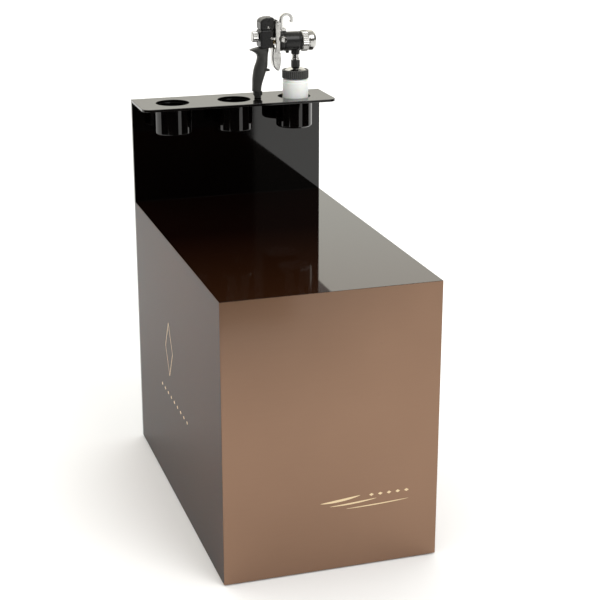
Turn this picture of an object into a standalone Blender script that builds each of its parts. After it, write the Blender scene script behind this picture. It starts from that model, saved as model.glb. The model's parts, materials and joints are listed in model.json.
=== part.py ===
"""Airbrush holder stand.

A closed display cabinet in mitred sheet panels, with a tall back panel that carries a shelf of
three hanging cups. A gravity-held HVLP spray gun stands on the shelf with its bottle in one cup.

Metres, +Z up. The origin is on the floor under the middle of the cabinet, the cabinet's front
faces -Y, and the gun points along +X. The gun's pieces are children of an empty that stands on
the shelf's top face, on the line through the cups.
"""
import math

import bmesh
import bpy
from mathutils import Vector

MM = 0.001
GAP = 0.3

# Driving sizes of the stand, in millimetres
WIDTH = 455
DEPTH = 790
HEIGHT = 600
FLOOR_GAP = 3
PANEL = 6
BACK = 10
SHELF_TOP = 842
SHELF = 6
SHELF_DEPTH = 140
SHELF_CORNER = 18
CUP_PITCH = 145
CUP_SETBACK = 70
CUP_BORE = 38
CUP_WALL = 4
CUP_BOTTOM = 772
POST = 20
BASE_Z = 15
BASE = 12
FOOT_INSET = 40
FOOT_R = 16
BRACKET_WIDTH = 40
BRACKET_DROP = 36
BRACKET_REACH = 14
BRACKET = 2.5

# Driving sizes of the gun, in millimetres: X as the stand's, Y from the cup line, Z from the shelf
BARREL_Z = 127.5
BARREL_R = 22
BARREL_BACK = 107
BARREL_FRONT = 160
NOSE_R = 18.4
PIVOT = (100, 172)
ARM_IN = 20.3
ARM_OUT = 23.3
BOTTLE_X = 148.5
BOTTLE_R = 30
BOTTLE_WALL = 1.5
BOTTLE_BOTTOM = -62
NECK_R = 25.5
RING_R = 31
INLET_X = 57
KNOB_Z = 141
FAN_KNOB = (112, 135.5)

# Worked out from them
HALF_W = WIDTH / 2
HALF_D = DEPTH / 2
BACK_FACE = HALF_D - BACK
CUP_LINE = HALF_D - CUP_SETBACK
CUP_X = (-CUP_PITCH, 0, CUP_PITCH)
SHELF_UNDER = SHELF_TOP - SHELF
BRACKET_X = (-CUP_PITCH, CUP_PITCH)
BRACKET_SCREW_DOWN = BRACKET_DROP * 0.6
BRACKET_SCREW_OUT = BRACKET_REACH * 0.6


# ---------------------------------------------------------------- scene and materials

def clear_scene():
    for thing in list(bpy.data.objects):
        bpy.data.objects.remove(thing, do_unlink=True)


def material(name, colour, roughness, metallic=0.0):
    mat = bpy.data.materials.new(name)
    mat.use_nodes = True
    shader = mat.node_tree.nodes["Principled BSDF"]
    shader.inputs["Base Color"].default_value = (*colour, 1.0)
    shader.inputs["Roughness"].default_value = roughness
    shader.inputs["Metallic"].default_value = metallic
    mat.diffuse_color = (*colour, 1.0)
    return mat


def make_materials():
    return {
        "bronze_panel": material("bronze_panel", (0.26, 0.15, 0.10), 0.35, 0.6),
        "gloss_black": material("gloss_black", (0.010, 0.009, 0.008), 0.05),
        "inner_board": material("inner_board", (0.30, 0.22, 0.15), 0.70),
        "black_metal": material("black_metal", (0.02, 0.02, 0.02), 0.40, 0.8),
        "black_plastic": material("black_plastic", (0.03, 0.03, 0.03), 0.45),
        "grip": material("grip", (0.045, 0.045, 0.040), 0.55),
        "chrome": material("chrome", (0.75, 0.75, 0.73), 0.12, 1.0),
        "brass": material("brass", (0.70, 0.52, 0.25), 0.25, 1.0),
        "steel": material("steel", (0.55, 0.55, 0.55), 0.25, 1.0),
        "rubber": material("rubber", (0.02, 0.02, 0.02), 0.80),
        "bottle_white": material("bottle_white", (0.80, 0.80, 0.78), 0.35),
    }


# ---------------------------------------------------------------- shape helpers

def finish_object(name, mesh_data, mat, parent=None, place=(0, 0, 0), axis=None):
    """Closes a bmesh (built in millimetres) into a named object, in metres."""
    bmesh.ops.recalc_face_normals(mesh_data, faces=mesh_data.faces)
    bmesh.ops.scale(mesh_data, vec=(MM, MM, MM), verts=mesh_data.verts)
    mesh = bpy.data.meshes.new(name)
    mesh_data.to_mesh(mesh)
    mesh_data.free()
    mesh.shade_smooth()
    mesh.set_sharp_from_angle(angle=math.radians(35))
    mesh.materials.append(mat)
    thing = bpy.data.objects.new(name, mesh)
    bpy.context.collection.objects.link(thing)
    thing.location = Vector(place) * MM
    if axis is not None:
        thing.rotation_euler = Vector((0, 0, 1)).rotation_difference(Vector(axis)).to_euler()
    thing.parent = parent
    return thing


def box(name, mat, low, high, parent=None):
    """A plain block, its origin at its middle."""
    middle = [(a + b) / 2 for a, b in zip(low, high)]
    size = [b - a for a, b in zip(low, high)]
    bm = bmesh.new()
    bmesh.ops.create_cube(bm, size=1.0)
    bmesh.ops.scale(bm, vec=size, verts=bm.verts)
    return finish_object(name, bm, mat, parent, middle)


def turned(name, mat, profile, place, axis, segments=24, parent=None):
    """A lathe piece: (radius, height) points round a closed section, spun about its own axis."""
    bm = bmesh.new()
    rings = []
    for radius, height in profile:
        if radius == 0:
            rings.append([bm.verts.new((0, 0, height))])
            continue
        turns = [2 * math.pi * k / segments for k in range(segments)]
        rings.append([bm.verts.new((radius * math.cos(t), radius * math.sin(t), height)) for t in turns])
    for here, there in zip(rings, rings[1:] + rings[:1]):
        if len(here) == 1 and len(there) == 1:
            continue
        for k in range(segments):
            nxt = (k + 1) % segments
            near = [here[k % len(here)], here[nxt % len(here)]]
            far = [there[nxt % len(there)], there[k % len(there)]]
            bm.faces.new(dict.fromkeys(near + far))
    return finish_object(name, bm, mat, parent, place, axis)


def rod(radius, low, high):
    return [(0, low), (radius, low), (radius, high), (0, high)]


def tube(outer, inner, low, high):
    return [(inner, low), (outer, low), (outer, high), (inner, high)]


def prism(name, mat, outline, low, high, parent=None, place=(0, 0, 0)):
    """A side outline in X and Z, extruded along Y from low to high."""
    bm = bmesh.new()
    near = [bm.verts.new((x, low, z)) for x, z in outline]
    far = [bm.verts.new((x, high, z)) for x, z in outline]
    bm.faces.new(near)
    bm.faces.new(far)
    count = len(outline)
    for k in range(count):
        nxt = (k + 1) % count
        bm.faces.new((near[k], near[nxt], far[nxt], far[k]))
    return finish_object(name, bm, mat, parent, place)


def loft(name, mat, sections, parent=None, place=(0, 0, 0)):
    """Joins rings of equally many points and closes both ends."""
    bm = bmesh.new()
    rings = [[bm.verts.new(point) for point in section] for section in sections]
    for here, there in zip(rings, rings[1:]):
        for k in range(len(here)):
            nxt = (k + 1) % len(here)
            bm.faces.new((here[k], here[nxt], there[nxt], there[k]))
    bm.faces.new(rings[0])
    bm.faces.new(rings[-1])
    return finish_object(name, bm, mat, parent, place)


def arc(centre, radius, start, end, steps):
    """Points along a circle, angles in degrees."""
    turns = [math.radians(start + (end - start) * k / steps) for k in range(steps + 1)]
    return [(centre[0] + radius * math.cos(t), centre[1] + radius * math.sin(t)) for t in turns]


def bevel(thing, width, segments=2, angle=40):
    mod = thing.modifiers.new("edge", "BEVEL")
    mod.width = width * MM
    mod.segments = segments
    mod.limit_method = "ANGLE"
    mod.angle_limit = math.radians(angle)


def boolean(thing, operation, tools):
    """Unites or cuts with other objects, which are hidden and left out of the build."""
    for tool in tools:
        tool.hide_render = True
        tool.display_type = "WIRE"
        mod = thing.modifiers.new(tool.name, "BOOLEAN")
        mod.operation = operation
        mod.solver = "EXACT"
        mod.object = tool


def empty(name, place):
    thing = bpy.data.objects.new(name, None)
    thing.location = Vector(place) * MM
    bpy.context.collection.objects.link(thing)
    return thing


# ---------------------------------------------------------------- the cabinet

def mitred_panel(name, mat, outer, inner):
    """A sheet between an outer and an inner rectangle, so that its edges slope where they differ."""
    bm = bmesh.new()
    rings = [[bm.verts.new(point) for point in corners] for corners in (outer, inner)]
    bm.faces.new(rings[0])
    bm.faces.new(rings[1])
    for k in range(4):
        nxt = (k + 1) % 4
        bm.faces.new((rings[0][k], rings[0][nxt], rings[1][nxt], rings[1][k]))
    return finish_object(name, bm, mat)


def make_panels(mats):
    """Front, sides and top meet in 45 degree mitres; their back edges butt on the back panel."""
    seam = GAP / math.sqrt(2)
    rear = BACK_FACE - GAP
    x_out, x_in = HALF_W - seam, HALF_W - seam - PANEL
    y_out, y_in = -HALF_D + seam, -HALF_D + seam + PANEL
    z_out, z_in = HEIGHT - seam, HEIGHT - seam - PANEL

    def upright(x, y, top):
        return [(-x, y, FLOOR_GAP), (x, y, FLOOR_GAP), (x, y, top), (-x, y, top)]

    mitred_panel("front_panel", mats["bronze_panel"],
                 upright(x_out, -HALF_D, z_out), upright(x_in, -HALF_D + PANEL, z_in))
    for side, name in ((-1, "left_side_panel"), (1, "right_side_panel")):
        skins = []
        for x, y, top in ((HALF_W, y_out, z_out), (HALF_W - PANEL, y_in, z_in)):
            skins.append([(side * x, y, FLOOR_GAP), (side * x, rear, FLOOR_GAP),
                          (side * x, rear, top), (side * x, y, top)])
        mitred_panel(name, mats["bronze_panel"], *skins)
    skins = []
    for x, y, z in ((x_out, y_out, HEIGHT), (x_in, y_in, HEIGHT - PANEL)):
        skins.append([(-x, y, z), (x, y, z), (x, rear, z), (-x, rear, z)])
    mitred_panel("top_panel", mats["gloss_black"], *skins)


def screw_hole_cutter(name, mat, place, axis, radius, depth):
    """A drill from just outside a face down to a depth below it."""
    return turned(name, mat, rod(radius, -2, depth), place, axis, 16)


def make_back_panel(mats):
    panel = box("back_panel", mats["gloss_black"], (-HALF_W, BACK_FACE, FLOOR_GAP),
                (HALF_W, HALF_D, SHELF_UNDER - GAP))
    drills = [screw_hole_cutter(f"back_drill_{k}", mats["gloss_black"],
                                (x, BACK_FACE, SHELF_UNDER - GAP - BRACKET_SCREW_DOWN), (0, 1, 0), 1.8, 6.5)
              for k, x in enumerate(BRACKET_X)]
    boolean(panel, "DIFFERENCE", drills)


def make_carcass(mats):
    """Base board, four corner posts and four feet, all hidden behind the panels."""
    x_in, y_front, y_back = HALF_W - PANEL - GAP, -HALF_D + PANEL + GAP, BACK_FACE - GAP
    base = box("base_panel", mats["inner_board"], (-x_in, y_front, BASE_Z), (x_in, y_back, BASE_Z + BASE))
    corners = {"front_left": (-1, -1), "front_right": (1, -1), "back_left": (-1, 1), "back_right": (1, 1)}
    post_low, post_high = BASE_Z + BASE + GAP, HEIGHT - PANEL - GAP
    drills = []
    for name, (side, end) in corners.items():
        x = side * (x_in - POST / 2)
        y = y_front + POST / 2 if end < 0 else y_back - POST / 2
        box(f"corner_post_{name}", mats["inner_board"], (x - POST / 2, y - POST / 2, post_low),
            (x + POST / 2, y + POST / 2, post_high))
        foot_x = side * (HALF_W - FOOT_INSET)
        foot_y = end * (HALF_D - FOOT_INSET)
        recess = [(5, 0), (FOOT_R - 1, 0), (FOOT_R, 1), (FOOT_R, BASE_Z - GAP), (2.8, BASE_Z - GAP),
                  (2.8, 8), (5, 8)]
        turned(f"foot_{name}", mats["rubber"], recess, (foot_x, foot_y, 0), (0, 0, 1), 16)
        screw = [(0, 5), (4.4, 5), (4.4, 7.7), (2.4, 7.7), (2.4, 23), (0, 24)]
        turned(f"foot_screw_{name}", mats["steel"], screw, (foot_x, foot_y, 0), (0, 0, 1), 12)
        drills.append(turned(f"base_drill_{name}", mats["inner_board"], rod(2.8, -3, 10),
                             (foot_x, foot_y, BASE_Z), (0, 0, 1), 12))
    boolean(base, "DIFFERENCE", drills)


def make_shelf(mats):
    """The shelf lies on the back panel's top edge, with rounded front corners and three holes."""
    front = HALF_D - SHELF_DEPTH
    x, y = HALF_W - SHELF_CORNER, front + SHELF_CORNER
    outline = [(HALF_W, HALF_D), (-HALF_W, HALF_D)]
    outline += arc((-x, y), SHELF_CORNER, 180, 270, 6) + arc((x, y), SHELF_CORNER, 270, 360, 6)
    bottom = [(px, py, SHELF_UNDER) for px, py in outline]
    top = [(px, py, SHELF_TOP) for px, py in outline]
    shelf = loft("cup_shelf", mats["gloss_black"], [bottom, top])
    cutters = [turned(f"hole_cutter_{k}", mats["gloss_black"], rod(CUP_BORE, SHELF_UNDER - 5, SHELF_TOP + 5),
                      (cx, CUP_LINE, 0), (0, 0, 1), 36) for k, cx in enumerate(CUP_X)]
    cutters += [screw_hole_cutter(f"shelf_drill_{k}", mats["gloss_black"],
                                  (cx, BACK_FACE - BRACKET_SCREW_OUT, SHELF_UNDER), (0, 0, 1), 1.8, 4.2)
                for k, cx in enumerate(BRACKET_X)]
    boolean(shelf, "DIFFERENCE", cutters)


def make_cups(mats):
    outer = CUP_BORE + CUP_WALL
    floor = CUP_BOTTOM + CUP_WALL
    section = [(0, CUP_BOTTOM), (outer - 2, CUP_BOTTOM), (outer, CUP_BOTTOM + 2), (outer, SHELF_UNDER - GAP),
               (CUP_BORE, SHELF_UNDER - GAP), (CUP_BORE, floor), (0, floor)]
    for x, name in zip(CUP_X, ("cup_left", "cup_middle", "cup_right")):
        turned(name, mats["gloss_black"], section, (x, CUP_LINE, 0), (0, 0, 1), 36)


def make_brackets(mats):
    """Angle brackets behind the outer cups, in the corner of shelf and back panel."""
    y, z = BACK_FACE - GAP, SHELF_UNDER - GAP
    outline = [(y, z), (y, z - BRACKET_DROP), (y - BRACKET, z - BRACKET_DROP), (y - BRACKET, z - BRACKET),
               (y - BRACKET_REACH, z - BRACKET), (y - BRACKET_REACH, z)]
    screw = [(0, -4.9), (2.2, -4.9), (3.2, -3.2), (1.5, -3.2), (1.5, 3.2), (0, 3.2)]
    for x, side in zip(BRACKET_X, ("left", "right")):
        reaches = (-BRACKET_WIDTH / 2, BRACKET_WIDTH / 2)
        ends = [[(x + reach, py, pz) for py, pz in outline] for reach in reaches]
        bracket = loft(f"shelf_bracket_{side}", mats["black_metal"], ends)
        up = (x, BACK_FACE - BRACKET_SCREW_OUT, SHELF_UNDER)
        back = (x, BACK_FACE, z - BRACKET_SCREW_DOWN)
        drills = []
        for where, axis, place in (("shelf", (0, 0, 1), up), ("panel", (0, 1, 0), back)):
            turned(f"bracket_screw_{where}_{side}", mats["steel"], screw, place, axis, 12)
            drills.append(turned(f"bracket_drill_{where}_{side}", mats["steel"], rod(1.9, -6, 2),
                                 place, axis, 12))
        boolean(bracket, "DIFFERENCE", drills)


# ---------------------------------------------------------------- the gun's body

FORWARD = (1, 0, 0)
SIDE = (0, -1, 0)
UP = (0, 0, 1)


def hidden_rod(name, mats, radius, low, high, place, axis, parent, segments=16):
    return turned(name, mats["black_metal"], rod(radius, low, high), place, axis, segments, parent)


def make_gun_body(mats, gun):
    """Casting: rear block, bridge and pivot lug over the trigger gap, barrel, nose and bosses."""
    rear = (arc((65, 121), 5, 180, 270, 3) + arc((86, 121), 5, 270, 360, 3)
            + arc((86, 152), 5, 0, 90, 3) + arc((66, 151), 6, 90, 180, 3))
    body = prism("gun_body", mats["black_metal"], rear, -19, 19, gun)
    bevel(body, 3, 2, 60)
    barrel = [(0, BARREL_BACK), (BARREL_R - 1.5, BARREL_BACK), (BARREL_R, BARREL_BACK + 1.5),
              (BARREL_R, BARREL_FRONT - 1.5), (BARREL_R - 1.5, BARREL_FRONT), (NOSE_R, BARREL_FRONT),
              (NOSE_R, 173), (NOSE_R - 1, 174), (0, 174)]
    lug = [(93.5, 138)] + arc(PIVOT, 6.5, 180, 0, 8) + [(106.5, 138)]
    axis_line = (0, 0, BARREL_Z)
    parts = [
        box("bridge_part", mats["black_metal"], (80, -8, 141.5), (113, 8, 148), gun),
        prism("lug_part", mats["black_metal"], lug, -9, 9, gun),
        turned("barrel_part", mats["black_metal"], barrel, axis_line, FORWARD, 28, gun),
        box("hook_pad_part", mats["black_metal"], (110, -6.2, 140), (125.5, 6.2, 151), gun),
        hidden_rod("drain_part", mats, 4, 100.5, 115, (129, 0, 0), UP, gun),
        hidden_rod("socket_part", mats, 10, 97.5, 115, (BOTTLE_X, 0, 0), UP, gun, 20),
    ]
    boolean(body, "UNION", parts)
    needle_bore = [(0, 66), (5.6, 66), (5.6, 100), (4.3, 100), (4.3, 113), (3, 113), (3, 166), (8.3, 166),
                   (8.3, 180), (0, 180)]
    fluid_bore = [(0, 92), (7.3, 92), (7.3, 104), (2.6, 104), (2.6, 126.9), (0, 126.9)]
    cutters = [
        turned("needle_bore", mats["black_metal"], needle_bore, axis_line, FORWARD, 16, gun),
        turned("fluid_bore", mats["black_metal"], fluid_bore, (BOTTLE_X, 0, 0), UP, 16, gun),
        hidden_rod("knob_bore", mats, 3.35, 50, 71, (0, 0, KNOB_Z), FORWARD, gun),
        hidden_rod("pin_bore", mats, 2.4, -12, 12, (PIVOT[0], 0, PIVOT[1]), SIDE, gun),
        hidden_rod("fan_bore", mats, 2.9, 14, 30, (FAN_KNOB[0], 0, FAN_KNOB[1]), SIDE, gun),
        hidden_rod("side_screw_bore", mats, 1.8, 9, 25, (86, 0, 138), SIDE, gun, 12),
        hidden_rod("hook_screw_bore", mats, 1.8, 142, 156, (121, 0, 0), UP, gun, 12),
    ]
    boolean(body, "DIFFERENCE", cutters)


def oval(low, high, half_width, z, count=20, power=2.4):
    """A rounded section of the handle: superellipse between its back and front, at height z."""
    points = []
    for k in range(count):
        turn = 2 * math.pi * k / count
        c, s = math.cos(turn), math.sin(turn)
        x = math.copysign(abs(c) ** (2 / power), c) * (high - low) / 2
        y = math.copysign(abs(s) ** (2 / power), s) * half_width
        points.append(((low + high) / 2 + x, y, z))
    return points


def make_handle(mats, gun):
    """Grip with a hand rest horn at its top back and a finger stop on its front."""
    spine = [(16, 44, 65, 11), (30, 44.5, 66.5, 12), (46, 45, 71.5, 13), (62, 47.5, 77, 14),
             (72, 50, 80, 14), (82, 54, 80.8, 14), (92, 56.5, 81, 14), (99, 55.5, 81.5, 14),
             (104, 51, 82.5, 14), (108, 44.5, 83.5, 14), (110.5, 38.5, 84, 13.5), (112, 39.5, 84, 13.5),
             (114, 46, 84, 14), (115.7, 55, 84, 14)]
    sections = [oval(back, front, width, z) for z, back, front, width in spine]
    handle = loft("handle", mats["grip"], sections, gun)
    nib = [(70, 60.5), (84, 61), (86, 62.5), (86, 65), (84, 66.5), (70, 66.5)]
    stop = prism("finger_stop_part", mats["grip"], nib, -5, 5, gun)
    boolean(handle, "UNION", [stop])
    lean = Vector((72 - 54.5, 0, 100))
    passage = turned("air_passage_bore", mats["grip"], rod(5.5, -12, 112), (54.5, 0, 16), lean, 16, gun)
    boolean(handle, "DIFFERENCE", [passage])


def make_inlet(mats, gun):
    """Air inlet: a coupling nut and a plug, which the gun stands on."""
    section = [(4.5, GAP), (7.5, GAP), (8.5, 1.5), (8.5, 6), (11, 7), (11, 14.7), (10, 15.7), (4.5, 15.7)]
    turned("air_inlet_fitting", mats["black_metal"], section, (INLET_X, 0, 0), UP, 18, gun)


def make_top_cover(mats, gun):
    outline = [(60.5, 157.3)] + arc((72, 172), 11.5, 180, 100, 5)
    outline += [(76, 185), (90, 185), (93, 182), (93, 157.3)]
    cover = prism("top_cover", mats["black_plastic"], outline, -17.5, 17.5, gun)
    bevel(cover, 3, 2, 50)
    bore = hidden_rod("cover_screw_bore", mats, 1.8, 8, 25, (79, 0, 163), SIDE, gun, 12)
    boolean(cover, "DIFFERENCE", [bore])
    head = [(0, 0), (1.5, 0), (1.5, 7.8), (3, 7.8), (3, 8.8), (2.2, 9.6), (0, 9.6)]
    turned("cover_screw", mats["chrome"], head, (79, -10, 163), SIDE, 12, gun)
    turned("side_screw", mats["chrome"], head, (86, -11.5, 138), SIDE, 12, gun)


def make_hook(mats, gun):
    """Flat bar bent into a foot, an upright and an open curl, with a screw through the foot."""
    path = [(125, 154.2), (117.5, 154.2)] + arc((117.5, 157.7), 3.5, 250, 200, 2)
    path += [(114, 162), (114, 170)] + arc((126.5, 177), 12.5, 180, -30, 10)
    half = 2.8
    sections = []
    for k, (x, z) in enumerate(path):
        before = Vector(path[max(k - 1, 0)])
        after = Vector(path[min(k + 1, len(path) - 1)])
        along = (after - before).normalized()
        nx, nz = -along.y * half, along.x * half
        outer, inner = (x + nx, z + nz), (x - nx, z - nz)
        corners = ((outer, -5), (outer, 5), (inner, 5), (inner, -5))
        sections.append([(px, y, pz) for (px, pz), y in corners])
    hook = loft("hanging_hook", mats["chrome"], sections, gun)
    bore = hidden_rod("hook_foot_bore", mats, 1.8, 148, 160, (121, 0, 0), UP, gun, 12)
    boolean(hook, "DIFFERENCE", [bore])
    screw = [(0, 145), (1.4, 145), (1.4, 157.3), (2.8, 157.3), (2.8, 158.6), (2, 159.4), (0, 159.4)]
    turned("hook_screw", mats["steel"], screw, (121, 0, 0), UP, 12, gun)


# ---------------------------------------------------------------- the gun's trigger and fluid line

def make_trigger(mats, gun):
    """Fork on the pivot pin, a web that draws the needle back, and the finger lever."""
    px, pz = PIVOT
    pivot = empty("trigger_pivot", (px, 0, pz))
    pivot.parent = gun

    def local(points):
        return [(x - px, z - pz) for x, z in points]

    lever = [(92.5, 113.5), (91, 104), (90.5, 94), (91.2, 82), (94, 72), (99.5, 64.5), (104.5, 61.5),
             (107.5, 64), (110, 74), (111.3, 86), (111.3, 97), (110, 102.5), (106.2, 104.8), (105, 113.5)]
    trigger = prism("trigger", mats["chrome"], local(lever), -9.5, 9.5, pivot)
    bevel(trigger, 3, 2, 60)
    arm = [(92.8, 106.5), (105.2, 106.5), (104.8, 118)] + arc(PIVOT, 6.5, 0, 180, 8) + [(95.2, 118)]
    web = [(98.5, 119.5), (101.5, 119.5), (101.5, 135.5), (98.5, 135.5)]
    bridge = [(93.2, 107), (105.0, 107), (104.6, 113), (94, 113)]
    parts = [
        prism("near_arm_part", mats["chrome"], local(arm), -ARM_OUT, -ARM_IN, pivot),
        prism("far_arm_part", mats["chrome"], local(arm), ARM_IN, ARM_OUT, pivot),
        prism("web_part", mats["chrome"], local(web), -ARM_IN - 1, ARM_IN + 1, pivot),
        prism("bridge_part_trigger", mats["chrome"], local(bridge), -ARM_IN - 1, ARM_IN + 1, pivot),
    ]
    boolean(trigger, "UNION", parts)
    boolean(trigger, "DIFFERENCE", [
        hidden_rod("trigger_pin_bore", mats, 2.4, -30, 30, (0, 0, 0), SIDE, pivot),
        hidden_rod("trigger_needle_hole", mats, 2.3, -5, 5, (0, 0, BARREL_Z - pz), FORWARD, pivot),
    ])
    pin = [(0, -24.6), (2, -24.6), (2, 23.6), (4, 23.6), (4, 24.4), (3.2, 25.2), (0, 25.2)]
    turned("pivot_pin", mats["steel"], pin, (px, 0, pz), SIDE, 16, gun)


def make_needle(mats, gun):
    """Needle, the collar that the trigger draws, the return spring behind it and the packing nut."""
    line = (0, 0, BARREL_Z)
    shaft = [(0, 71.5), (1.2, 71.5), (1.2, 180), (0.3, 187), (0, 187)]
    turned("needle", mats["steel"], shaft, line, FORWARD, 10, gun)
    turned("needle_collar", mats["brass"], tube(5, 1.6, 93.5, 97.4), line, FORWARD, 16, gun)
    nut = [(1.7, 103.6), (5.6, 103.6), (6.2, 104.2), (6.2, 106.6), (3.9, 106.6), (3.9, 112), (1.7, 112)]
    turned("packing_nut", mats["brass"], nut, line, FORWARD, 12, gun)
    make_spring(mats, gun, 67.2, 92.4, 3.7, 0.7, 5)


def make_spring(mats, gun, low, high, radius, wire, turns):
    """A coil of round wire along the needle line."""
    per_turn, sides = 10, 5
    steps = turns * per_turn
    sections = []
    for k in range(steps + 1):
        turn = 2 * math.pi * k / per_turn
        out = Vector((0, math.cos(turn), math.sin(turn)))
        round_way = Vector((0, -math.sin(turn), math.cos(turn)))
        along = (Vector(((high - low) / turns, 0, 0)) + 2 * math.pi * radius * round_way).normalized()
        across = along.cross(out)
        centre = Vector((low + (high - low) * k / steps, 0, 0)) + radius * out
        ring = [2 * math.pi * j / sides for j in range(sides)]
        sections.append([tuple(centre + wire * (math.cos(t) * out + math.sin(t) * across)) for t in ring])
    loft("needle_spring", mats["steel"], sections, gun, (0, 0, BARREL_Z))


def make_front_end(mats, gun):
    """Fluid nozzle, air cap with two horns, and the retaining ring."""
    line = (0, 0, BARREL_Z)
    nozzle = [(1.7, 166.4), (7.9, 166.4), (7.9, 174.3), (9.8, 174.3), (9.8, 178.5), (5, 179.5), (2.6, 190.2),
              (1.7, 190.2)]
    turned("fluid_nozzle", mats["brass"], nozzle, line, FORWARD, 16, gun)
    cap = [(3.1, 190.6), (8.5, 191.6), (12.6, 190), (12.6, 187.4), (18.1, 187.4), (18.1, 183.4), (12, 183.4),
           (8.2, 185.5), (3.1, 188.8)]
    air_cap = turned("air_cap", mats["black_plastic"], cap, line, FORWARD, 28, gun)
    horns = []
    for side in (-1, 1):
        wedge = [(188.5, side * 7.6), (195.5, side * 8.6), (196.5, side * 11.4), (188.5, side * 12.3)]
        horns.append(prism(f"horn_part_{side}", mats["black_plastic"], wedge, -2.8, 2.8, gun, line))
    boolean(air_cap, "UNION", horns)
    ring = [(18.8, 160.5), (22.4, 160.5), (24, 162.5), (24, 175), (22.8, 176), (22.8, 177.5), (23.8, 178.5),
            (23.8, 187), (18.6, 193.4), (13.2, 193.4), (13.2, 187.8), (18.8, 187.8)]
    turned("air_cap_ring", mats["chrome"], ring, line, FORWARD, 28, gun)


def make_knobs(mats, gun):
    fluid = [(0, 44), (10.6, 44), (12, 45.4), (12, 57), (10.5, 58.6), (6, 59.4), (3, 59.4), (3, 69.5),
             (0, 69.5)]
    turned("fluid_knob", mats["chrome"], fluid, (0, 0, KNOB_Z), FORWARD, 20, gun)
    fan = [(0, 14.5), (2.5, 14.5), (2.5, 22.8), (6.4, 22.8), (7.5, 24.6), (7.5, 31.4), (6.3, 32.8), (0, 32.8)]
    turned("fan_knob", mats["chrome"], fan, (FAN_KNOB[0], 0, FAN_KNOB[1]), SIDE, 20, gun)


def make_bottle_line(mats, gun):
    """Stem, swivel nut, lid, gasket, threaded ring, bottle and pickup tube, all on one upright axis."""
    place = (BOTTLE_X, 0, 0)
    stem = [(2.9, 71.8), (6, 71.8), (6, 84), (9, 84), (9.4, 86), (8, 89), (8, 97), (7, 97.2), (7, 103.6),
            (2.9, 103.6)]
    turned("fluid_stem", mats["chrome"], stem, place, UP, 18, gun)
    nut = [(6.4, 68.2), (9.6, 68.2), (10.6, 69.4), (10.6, 82.4), (9.6, 83.6), (6.4, 83.6)]
    turned("stem_nut", mats["black_metal"], nut, place, UP, 18, gun)
    lid = [(3, 57.2), (27, 57.2), (27, 59.2), (25.1, 59.4), (25, 60.6), (21, 63.4), (16, 65.8), (11, 67.3),
           (6, 67.9), (6, 71.5), (3, 71.5)]
    turned("bottle_lid", mats["chrome"], lid, place, UP, 28, gun)
    turned("lid_gasket", mats["rubber"], tube(26.5, 21.5, 55.6, 56.9), place, UP, 24, gun)
    ring = [(27.4, 37.6), (RING_R - 0.8, 37.6), (RING_R, 38.4), (RING_R, 60.4), (RING_R - 1.2, 61.6),
            (25.5, 61.6), (25.5, 59.6), (27.4, 59.6)]
    turned("cap_ring", mats["black_plastic"], ring, place, UP, 28, gun)
    bottom, inner = BOTTLE_BOTTOM, BOTTLE_BOTTOM + BOTTLE_WALL
    wall = BOTTLE_R - BOTTLE_WALL
    bottle = [(0, bottom), (BOTTLE_R - 4, bottom), (BOTTLE_R - 1.2, bottom + 1.2), (BOTTLE_R, bottom + 4),
              (BOTTLE_R, 34), (NECK_R, 37.2), (NECK_R, 55.3), (NECK_R - 2, 55.3), (NECK_R - 2, 36),
              (wall, 32.6), (wall, inner + 3), (BOTTLE_R - 5, inner), (0, inner)]
    turned("bottle", mats["bottle_white"], bottle, place, UP, 28, gun)
    turned("pickup_tube", mats["bottle_white"], tube(3, 1.8, -56, 56.9), place, UP, 12, gun)


def make_gun(mats):
    gun = empty("gun_frame", (0, CUP_LINE, SHELF_TOP))
    make_gun_body(mats, gun)
    make_handle(mats, gun)
    make_inlet(mats, gun)
    make_top_cover(mats, gun)
    make_hook(mats, gun)
    make_trigger(mats, gun)
    make_needle(mats, gun)
    make_front_end(mats, gun)
    make_knobs(mats, gun)
    make_bottle_line(mats, gun)


def make_stand(mats):
    make_panels(mats)
    make_back_panel(mats)
    make_carcass(mats)
    make_shelf(mats)
    make_cups(mats)
    make_brackets(mats)


clear_scene()
all_materials = make_materials()
make_stand(all_materials)
make_gun(all_materials)
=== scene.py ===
"""Looks of the airbrush holder stand: finer pieces, finishes, floor, light and camera.

Lengths are in millimetres and are turned into metres when a mesh is closed. The row frame has its
origin on the floor under the cabinet, +Z up, and the cabinet's front faces -Y.
"""
import json
import math

import bmesh
import bpy
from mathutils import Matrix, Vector


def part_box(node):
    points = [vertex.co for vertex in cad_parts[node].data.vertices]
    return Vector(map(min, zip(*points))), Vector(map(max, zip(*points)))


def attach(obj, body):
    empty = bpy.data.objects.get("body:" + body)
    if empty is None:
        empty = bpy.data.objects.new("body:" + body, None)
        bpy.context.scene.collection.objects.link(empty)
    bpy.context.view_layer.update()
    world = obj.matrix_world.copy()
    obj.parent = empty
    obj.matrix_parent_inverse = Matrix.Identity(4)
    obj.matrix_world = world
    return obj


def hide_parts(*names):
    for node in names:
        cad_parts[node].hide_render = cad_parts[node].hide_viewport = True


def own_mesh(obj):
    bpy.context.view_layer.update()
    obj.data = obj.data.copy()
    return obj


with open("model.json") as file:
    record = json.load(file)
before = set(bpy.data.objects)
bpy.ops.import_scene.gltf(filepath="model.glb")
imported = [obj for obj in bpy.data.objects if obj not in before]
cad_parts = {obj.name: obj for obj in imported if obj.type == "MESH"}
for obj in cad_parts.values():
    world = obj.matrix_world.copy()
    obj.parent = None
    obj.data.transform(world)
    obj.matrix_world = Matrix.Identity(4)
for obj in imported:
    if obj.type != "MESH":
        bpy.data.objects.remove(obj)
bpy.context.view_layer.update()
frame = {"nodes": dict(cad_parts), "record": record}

MM = 0.001
X, Y, Z = 0, 1, 2
ON_AXIS = 1e-6      # a radius below this counts as none
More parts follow.
